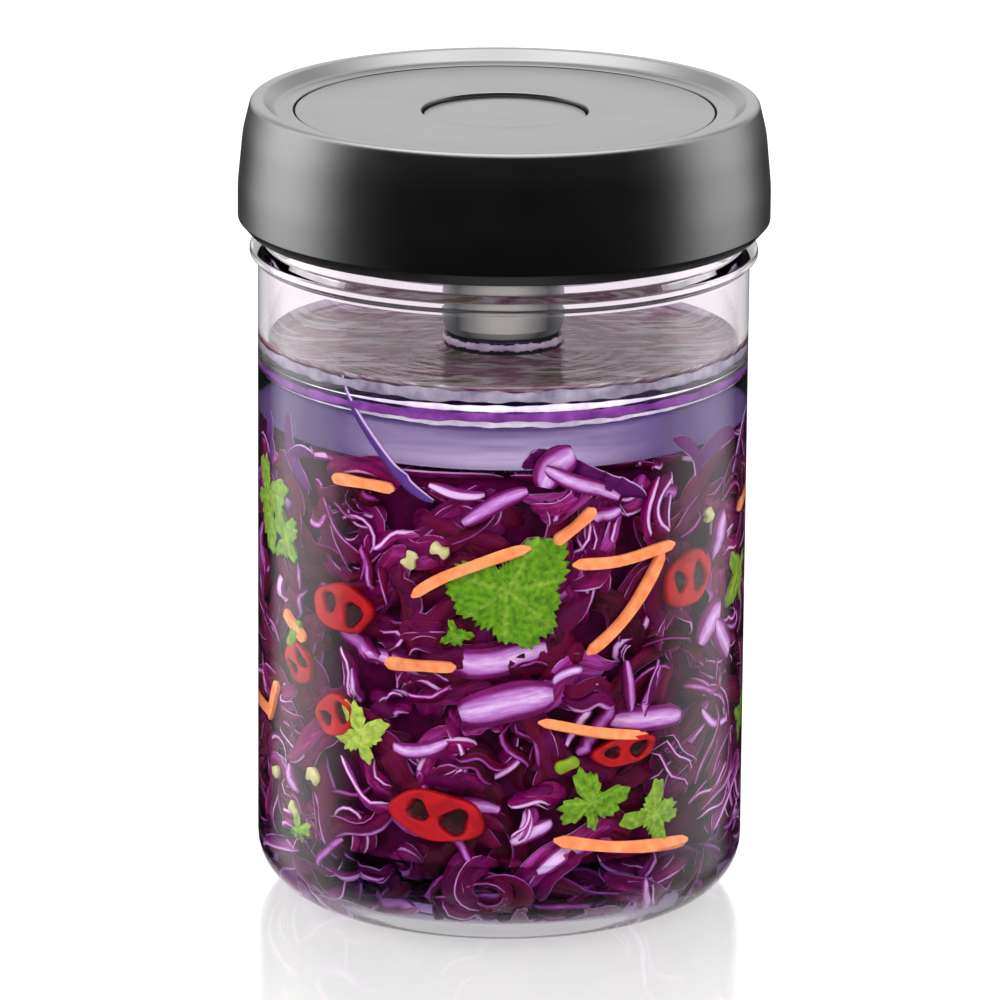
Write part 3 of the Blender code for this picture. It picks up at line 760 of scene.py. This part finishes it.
def pepperMaterial():
    mat, tree, shader = newMaterial("redPepper", Roughness=0.25, Specular_IOR_Level=0.35)
    spots = noiseNode(tree, objectPlace(tree), 260, 3)
    flesh = rampNode(tree, spots, [(0.3, (0.27, 0.001, 0.004)), (0.7, (0.50, 0.004, 0.010))])
    # The seed chambers are near black: painted shade inside their hollows.
    dark = rampNode(tree, spots, [(0.35, (0.012, 0.0008, 0.003)), (0.7, (0.05, 0.002, 0.008))])
    skin = rampNode(tree, spots, [(0.3, (0.18, 0.0005, 0.002)), (0.7, (0.28, 0.001, 0.003))])
    body = mixColours(tree, rangeNode(tree, attribute(tree, "rim"), 0.9), flesh, skin)
    feed(tree, shader, {"Base Color": mixColours(tree, attribute(tree, "pit"), body, dark)})
    addBump(tree, shader, spots, 0.2, 0.0003)
    return mat


# Herb leaf: its rim is eight lengths round the leaf, joined by a smooth periodic curve, less lobes
# and teeth, which are triangle waves of the angle; the thin blade waves more towards the rim.
leafLook = {
    "azimuth": [1.5, -36, 22.5, 41, -11, -64, -57, 78, 83, 140, 190, 236, 285, 120],
    "height": [81.5, 46.3, 32.6, 27.6, 71.0, 85, 20, 74, 40, 88, 40, 76, 92, 20],
    "size": [1.0, 0.50, 0.62, 0.52, 0.26, 0.45, 0.3, 0.5, 0.4, 0.8, 0.7, 0.6, 0.8, 0.7],
    "turn": [0, 1.2, 0.2, 2.4, 0.3, 1.6, 0.4, 1.4, 1.0, 2.2, 0.4, 3.0, 5.0, 1.0],
    "pale": [0, 0.9, 0.1, 0.35, 0, 0.2, 0.2, 0.3, 0.1, 0, 0.2, 0, 0.3, 0],
}
leafShapes = [
    [11.6, 15.0, 7.0, 8.6, 12.8, 9.8, 11.8, 13.0],
    [12.5, 7.0, 12.0, 6.5, 10.5, 8.0, 7.0, 9.5],
    [8.0, 14.0, 7.5, 11.0, 9.5, 10.5, 9.0, 12.5],
]


def makeLeaves():
    mat = leafMaterial()
    for i, (azimuth, height, size, turn, pale) in enumerate(zip(*leafLook.values())):
        asFood(makeLeaf(i, arc(azimuth), height, size, turn, pale), mat)
        keepClear(arc(azimuth), height, 11.5 * size, 3.2 if i else 4.0)


def makeLeaf(index, x0, y0, size, turn, pale):
    around = 288 if index == 0 else 176
    angle = np.arange(around) / around * 2 * math.pi
    lengths = np.fft.rfft(leafShapes[0 if index == 0 else 1 + index % 2])
    rim = np.fft.irfft(lengths, n=around) * around / 8

    def notches(count, shift):
        return np.abs(np.mod(count * angle / (2 * math.pi) + shift, 1) - 0.5) * 2

    lobes, teeth = notches(7 if index else 13, 0.2 * index), notches(23 if index else 47, 0.4)
    more, lobed, toothed = (2.4, 3.8, 1.7) if index else (1.1, 1.3, 1.1)
    rim = (rim + more - lobed * lobes ** 2 - (toothed + 0.4 * np.sin(5 * angle)) * teeth) * size
    reach = np.linspace(0.03, 1, 16)[:, None]
    u, v = reach * rim * np.cos(angle), reach * rim * np.sin(angle)
    along = x0 + u * math.cos(turn) - v * math.sin(turn)
    up = y0 + u * math.sin(turn) + v * math.cos(turn)
    wave = 0.25 if index else 0.9
    wave = wave + 0.35 * reach ** 2 * (1 + np.sin(5 * angle + index))
    wave = wave + 0.12 * np.sin(13 * angle) * reach ** 3
    top, _ = onWall(along, up, wave)
    below, _ = onWall(along, up, wave + 0.3)
    points = keptInside(np.concatenate([top, below[::-1]])[None])
    fans = np.abs(np.mod(angle * 7 / (2 * math.pi) + 0.3, 1) - 0.5)
    vein = np.clip(1 - fans * 14 * reach, 0, 1)
    vein = np.concatenate([vein, vein[::-1]])
    attributes = {"vein": vein, "pale": np.full(vein.shape, float(pale))}
    return carriedMesh(f"herbLeaf{index}", points, attributes)


def leafMaterial():
    mat, tree, shader = newMaterial("herbLeaf", Roughness=0.45, Specular_IOR_Level=0.25)
    spots = noiseNode(tree, objectPlace(tree), 800, 4)
    blade = rampNode(tree, spots, [(0.32, (0.04, 0.15, 0.001)), (0.68, (0.15, 0.34, 0.006))])
    light = rampNode(tree, spots, [(0.3, (0.22, 0.34, 0.02)), (0.7, (0.50, 0.58, 0.12))])
    toned = mixColours(tree, attribute(tree, "pale"), blade, light)
    veins = mathNode(tree, "MULTIPLY", attribute(tree, "vein"), 0.3)
    feed(tree, shader, {"Base Color": mixColours(tree, veins, toned, light)})
    addBump(tree, shader, spots, 0.5, 0.0005)
    return mat


# Green stalk ends and pale bits between the shreds.
greenLook = {
    "azimuth": [16.5, -64, 75, 100, 170, 230, 300],
    "height": [41.7, 86, 73.5, 60, 50, 20, 64],
    "length": [6, 14, 14, 10, 9, 12, 9],
    "theta": [18, -55, 50, 20, -30, 10, 60],
    "width": 2.6, "thick": 2.2, "depth": 1.3,
}
paleLook = {
    "azimuth": [-22.5, -52, -15, 60, -60, 110, 150, 210, 250, 290],
    "height": [87.1, 33.5, 89.9, 92, 24, 40, 66, 52, 80, 30],
    "thick": 2.2, "depth": 1.4, "ragged": 0.3,
}


def makeBits():
    green = withDefaults(greenLook)
    piece, across, height = strips("greenStalks", green, steps=10, under=False, ends=10)
    asFood(piece, mottledMaterial("greenStalk", (0.10, 0.22, 0.01), (0.32, 0.42, 0.02), 300, 0.4))
    n = len(paleLook["azimuth"])
    pale = withDefaults(paleLook, length=rng.uniform(3, 5.5, n), theta=rng.uniform(0, 180, n),
                        width=rng.uniform(2.2, 3.6, n))
    bits, moreAcross, moreHeight = strips("paleBits", pale, steps=10, under=False, ends=9)
    asFood(bits, mottledMaterial("paleBit", (0.34, 0.36, 0.10), (0.66, 0.58, 0.34), 300, 0.4))
    for a, h in ((across, height), (moreAcross, moreHeight)):
        keepClear(a[:, ::4], h[:, ::4], 2.2, 2.6)


# Rib slices: thick pale pieces seen on their cut face. Those in the table lie in front.
ribLook = {
    "azimuth": [-2, 1.5, 39, 13, 62, 20, 66, 68, -20, 24],
    "height": [65.8, 56, 49.6, 108.6, 67, 104.5, 86, 62, 45, 96],
    "theta": [8, 14, -6, 52, 35, -24, 80, -50, 8, 30],
    "length": [26, 22, 20, 11, 13, 20, 12, 13, 14, 12],
    "thick": [6.8, 8.6, 5.6, 7.0, 7.0, 3.6, 6, 6, 3.4, 3.2],
    "depth": 1.2, "tone": 0.5, "twist": 90, "spin": 0,
}
ribsElsewhere = 70


def makeRibs(mat):
    front = len(ribLook["azimuth"])
    n = ribsElsewhere + front
    p = scatter(n, 0.6, 2.2, 1)
    p.update(length=rng.uniform(7, 17, n), width=rng.uniform(1.4, 2.2, n),
             thick=rng.uniform(2.0, 4.6, n), twist=90 + rng.normal(0, 16, n),
             spin=rng.normal(0, 14, n), bend=rng.normal(0, 0.8, n), wave=rng.uniform(0, 0.15, n),
             cup=np.zeros(n), ragged=rng.uniform(0.1, 0.4, n), dive=np.full(n, 0.3))
    placed = {**ribLook, "across": arc(ribLook["azimuth"])}
    for key in p:
        if key in placed:
            p[key][:front] = placed[key]
    piece, across, height = strips("ribSlices", p, ends=2.8)
    breadth = p["thick"][:front, None]
    keepClear(across[:front, ::3], height[:front, ::3], breadth * 0.45, 3.2)
    asFood(piece, mat)


# Shreds lie in bundles of a few that share a way and a bend, as slices of one head do. One row
# is how many, and how deep the shallowest and the deepest lie.
shredLook = {
    "deepShreds": (520, 3.6, 6.2),
    "middleShreds": (420, 1.8, 4.2),
    "outerShreds": (320, 0.6, 2.2),
}
flatLook = {"topShreds": (150, onTop), "floorShreds": (110, onFloor)}
flatRadius = 44
laying = {"turn": 360 * 0.618034, "apart": 2.4, "low": -4, "span": 109, "top": 107}


# Scatters bundles round the jar: each is a golden turn on from the last one, at heights in a
# shuffled order, so that they cover the wall evenly.
def scatter(count, shallow, deep, bundle):
    lead = -(-count // bundle)
    i = np.repeat(np.arange(lead), bundle)[:count]
    turn = rng.permutation(lead)[i]
    jitter = rng.normal(0, 1, (8, count)) * (0 if bundle == 1 else 1)
    lay = lambda low, high: rng.uniform(low, high, lead)[i]
    theta = (rng.normal(0, 50, lead) + 180 * (rng.random(lead) > 0.5))[i]
    offset = laying["apart"] * jitter[0]
    length = lay(10, 30) * (1 + 0.12 * jitter[4])
    depth = rng.uniform(shallow, deep, count)
    bend = rng.normal(0, 1.3, lead) + (rng.random(lead) > 0.68) * rng.normal(0, 4.2, lead)
    bend = bend[i] + 0.25 * jitter[2]
    sine, cosine = np.sin(np.radians(theta)), np.cos(np.radians(theta))
    across = arc(laying["turn"]) * i + arc(rng.uniform(-9, 9, lead))[i] - offset * sine
    height = laying["low"] + laying["span"] * (turn + 0.5) / lead + offset * cosine
    top = laying["top"] - 0.9 * depth - 0.5 * length * np.abs(sine)
    return {
        "across": across,
        "height": np.minimum(height, top),
        "theta": theta + 7 * jitter[1],
        "bend": np.clip(bend, -0.16 * length, 0.16 * length),
        "wave": lay(0.05, 0.6),
        "freq": lay(0.6, 1.9),
        "phase": lay(0, 6.28) + 0.2 * jitter[3],
        "length": length,
        "depth": depth,
        "lift": rng.uniform(0.1, 0.9, count),
        "liftFreq": rng.uniform(0.8, 2.4, count),
        "dive": rng.uniform(0.0, 2.6, count),
        "width": rng.uniform(2.0, 4.6, count),
        "thick": rng.uniform(0.6, 1.3, count) * (1 + 0.8 * (rng.random(count) > 0.75)),
        "twist": np.where(rng.random(lead) > 0.5, 0.0, 75.0)[i] + rng.normal(0, 24, count),
        "spin": rng.normal(0, 46, count),
        "cup": rng.normal(0, 0.35, count),
        "ragged": rng.uniform(0.05, 0.3, count),
        "tone": np.clip(rng.random(lead)[i] + 0.1 * jitter[5], 0, 1),
    }


def makeShreds(mat):
    for name, (count, shallow, deep) in shredLook.items():
        p = scatter(count, shallow, deep, 3)
        p["width"] *= 1.0 + 0.11 * shallow
        piece, _, _ = strips(name, p)
        asFood(piece, mat)
        print("laid", count, name)
    for name, (count, sheet) in flatLook.items():
        p = scatter(count, 0.5, 2.0, 2)
        spot = flatRadius * np.sqrt(rng.random(count))
        turn = rng.uniform(0, 2 * math.pi, count)
        p["across"], p["height"] = spot * np.cos(turn), spot * np.sin(turn)
        p["theta"] = rng.uniform(0, 360, count)
        p["twist"] = rng.normal(0, 20, count)
        p["dive"] *= 0.3
        piece, _, _ = strips(name, p, sheet=sheet, under=False)
        asFood(piece, mat)


# The long blue strand in front, the folded piece beside it and the shreds that stand up between
# the weight and the glass.
risingLook = {
    "azimuth": [-31, 13, 25, 9, -60, -75, 64, 52, 80, 110, 150, 195, 235, 268, 300],
    "height": [112, 107.5, 105, 109, 104, 104, 107, 106, 105, 104, 103, 102, 103, 104, 105],
    "length": [36, 18, 24, 9, 16, 16, 18, 18, 22, 20, 20, 18, 20, 20, 20],
    "theta": [-50, -28, -22, -80, 30, 80, 20, 120, 40, 150, 30, 60, 140, 45, 120],
    "bend": [1.0, -2.2, -0.6, 1.0, -1.0, 0.8, -1.4, 1.2, -1.4, 1.0, -1.8, 1.2, -1.3, 1.6, -1.0],
    "width": [3.0, 4.4, 4.0, 2.2, 3, 3, 4, 3, 3.0, 3.2, 2.6, 3.0, 3.4, 2.8, 3.0],
    "tone": [1, 0.1, 0.3, 0.2, 0.6, 0.8, 0.5, 0.4, 0.7, 0.3, 0.6, 0.2, 0.8, 0.4, 0.5],
    "thick": 0.9, "wave": 0.15, "lift": 0.3, "depth": 1.0,
}


def makeRising():
    n = len(risingLook["azimuth"])
    p = withDefaults(risingLook, twist=rng.normal(15, 14, n), spin=rng.normal(0, 30, n))
    piece, _, _ = strips("risingShreds", p, steps=22, ends=5)
    skins = [(0.06, 0.001, 0.05), (0.10, 0.004, 0.12), (0.09, 0.045, 0.26)]
    flesh = [(0.30, 0.10, 0.36), (0.60, 0.42, 0.68)]
    asFood(piece, cabbageMaterial("risingCabbage", skins, flesh))


def makeFood():
    makeCore()
    makeCarrots()
    makePeppers()
    makeLeaves()
    makeBits()
    flesh = [(0.27, 0.02, 0.26), (0.46, 0.17, 0.52), (0.72, 0.48, 0.78)]
    makeRibs(cabbageMaterial("cabbageRibs", [(0.10, 0.001, 0.05), (0.20, 0.01, 0.16)], flesh))
    skins = [(0.035, 0.0001, 0.009), (0.115, 0.0001, 0.026), (0.07, 0.0002, 0.045),
             (0.19, 0.0003, 0.08), (0.37, 0.05, 0.35)]
    flesh = [(0.14, 0.001, 0.08), (0.31, 0.045, 0.31), (0.70, 0.42, 0.74)]
    makeShreds(cabbageMaterial("cabbageShreds", skins, flesh))
    makeRising()


floorLook = {"half": 3000.0, "grey": 0.24, "glow": 0.46, "roughness": 0.05, "ior": 1.8,
             "mirrored": (50.0, 62.0)}


# Floor: glossy rays see it near the jar alone.
def makeFloor():
    look = floorLook
    s, grey = look["half"], look["grey"]
    floor = addMesh("floor", [[-s, -s, 0], [s, -s, 0], [s, s, 0], [-s, s, 0]], [[0, 1, 2, 3]])
    mat, tree, shader = newMaterial("paleFloor", Roughness=look["roughness"], IOR=look["ior"],
                                    Base_Color=(grey, grey, grey, 1),
                                    Emission_Color=(1, 1, 1, 1), Emission_Strength=look["glow"])
    length = addNode(tree, "VectorMath", {0: objectPlace(tree)}, operation="LENGTH")["Value"]
    low, high = look["mirrored"]
    away = rangeNode(tree, length, low * toMetres, high * toMetres)
    glossy = addNode(tree, "LightPath")["Is Glossy Ray"]
    seeThrough(tree, mathNode(tree, "MULTIPLY", away, glossy), shader.outputs[0])
    floor.data.materials.append(mat)
    floor.visible_transmission = False


# World: white to the camera and straight through clear things. For gloss and soft light it is
# dark in front and pale behind, with a tall softbox on each side. Angles are in degrees, from
# the front towards +X.
studio = {
    "left": (-131, -85, 3.1), "right": (88, 131, 2.15), "soft": 15, "behind": 1.6,
    "overhead": 3.5, "front": 0.008, "frontThrough": 0.3, "throughMost": 1.35,
}


def makeWorld():
    world = bpy.data.worlds.new("studio")
    bpy.context.scene.world = world
    world.use_nodes = True
    tree = world.node_tree
    x, y, z = axesOf(tree, addNode(tree, "TexCoord")["Generated"])

    def do(operation, *values):
        return mathNode(tree, operation, *values)

    def rise(value, low, high, strength=1.0):
        low, high = math.radians(low), math.radians(high)
        return rangeNode(tree, value, low, high, toHigh=strength, curve="SMOOTHSTEP")

    azimuth = do("ARCTAN2", x, do("MULTIPLY", y, -1.0))
    height = do("ARCSINE", z)

    def softbox(low, high, strength):
        soft = studio["soft"]
        start, end = (rise(azimuth, edge - soft, edge + soft) for edge in (low, high))
        return do("MULTIPLY", do("SUBTRACT", start, end), rise(height, -50, 10, strength))

    around = do("ABSOLUTE", azimuth)
    behind = do("MULTIPLY", rise(around, 120, 165), rise(height, -8, 12, studio["behind"]))
    boxes = do("ADD", softbox(*studio["left"]), softbox(*studio["right"]))
    above = do("ADD", rise(height, 40, 75, studio["overhead"]), studio["front"])
    total = do("ADD", do("ADD", boxes, behind), above)
    path = addNode(tree, "LightPath")
    openSide = do("MAXIMUM", rise(around, 90, 120), rise(height, -4, 6))
    straight = do("LESS_THAN", path["Glossy Depth"], 0.5)
    dim = do("MAXIMUM", total, studio["frontThrough"])
    most = studio["throughMost"]
    limit = do("SUBTRACT", most, do("MULTIPLY", straight, most - 1))
    through = do("MINIMUM", do("MAXIMUM", dim, do("MAXIMUM", openSide, straight)), limit)
    clear = path["Is Transmission Ray"]
    solid = do("MULTIPLY", do("SUBTRACT", 1.0, clear), total)
    value = do("ADD", do("MULTIPLY", clear, through), solid)
    value = do("MAXIMUM", value, path["Is Camera Ray"])
    feed(tree, tree.nodes["Background"], {"Strength": value, "Color": (1, 1, 1, 1)})


lamps = {  # place, aim, width, height (m) and watts
    "keyLeft": ((-0.7, -0.9, 0.75), (0, 0, 0.08), 0.7, 0.7, 7.0),
    "keyRight": ((0.8, -0.8, 0.6), (0, 0, 0.08), 0.6, 0.6, 4.4),
    "lowFront": ((0.0, -1.1, 0.25), (0, 0, 0.06), 0.8, 0.4, 3.0),
}


def makeLights():
    for name, (position, aim, width, height, watts) in lamps.items():
        data = bpy.data.lights.new(name, "AREA")
        data.shape = "RECTANGLE"
        data.size, data.size_y, data.energy = width, height, watts
        lamp = bpy.data.objects.new(name, data)
        bpy.context.scene.collection.objects.link(lamp)
        lamp.location = position
        lamp.rotation_euler = (Vector(aim) - Vector(position)).to_track_quat("-Z", "Y").to_euler()
        lamp.visible_camera = False
        lamp.visible_glossy = False
        lamp.visible_transmission = False


cameraLook = {"elevation": 15.28, "distance": 1.672, "aim": (-0.0004, 0, 0.08765), "lens": 271.69,
              "roll": 0.46}


def makeCamera():
    look = cameraLook
    e = math.radians(look["elevation"])
    aim = Vector(look["aim"])
    data = bpy.data.cameras.new("camera")
    data.lens = look["lens"]
    data.sensor_width = 36.0
    data.clip_start = 0.01
    camera = bpy.data.objects.new("camera", data)
    bpy.context.scene.collection.objects.link(camera)
    camera.location = aim + look["distance"] * Vector((0, -math.cos(e), math.sin(e)))
    facing = (aim - camera.location).to_track_quat("-Z", "Y").to_matrix().to_4x4()
    camera.rotation_euler = (facing @ Matrix.Rotation(math.radians(look["roll"]), 4, "Z")).to_euler()
    bpy.context.scene.camera = camera


for make in (makeJar, makeLid, makeHousing, makeWeight, makeBrine, makePaintedLines):
    make()
print("made the jar, the lid, the weight and the brine")
makeFood()
print("laid the vegetables")
makeFloor()
makeWorld()
makeLights()
makeCamera()
bpy.context.scene.view_settings.view_transform = "Standard"
print("set the stage")
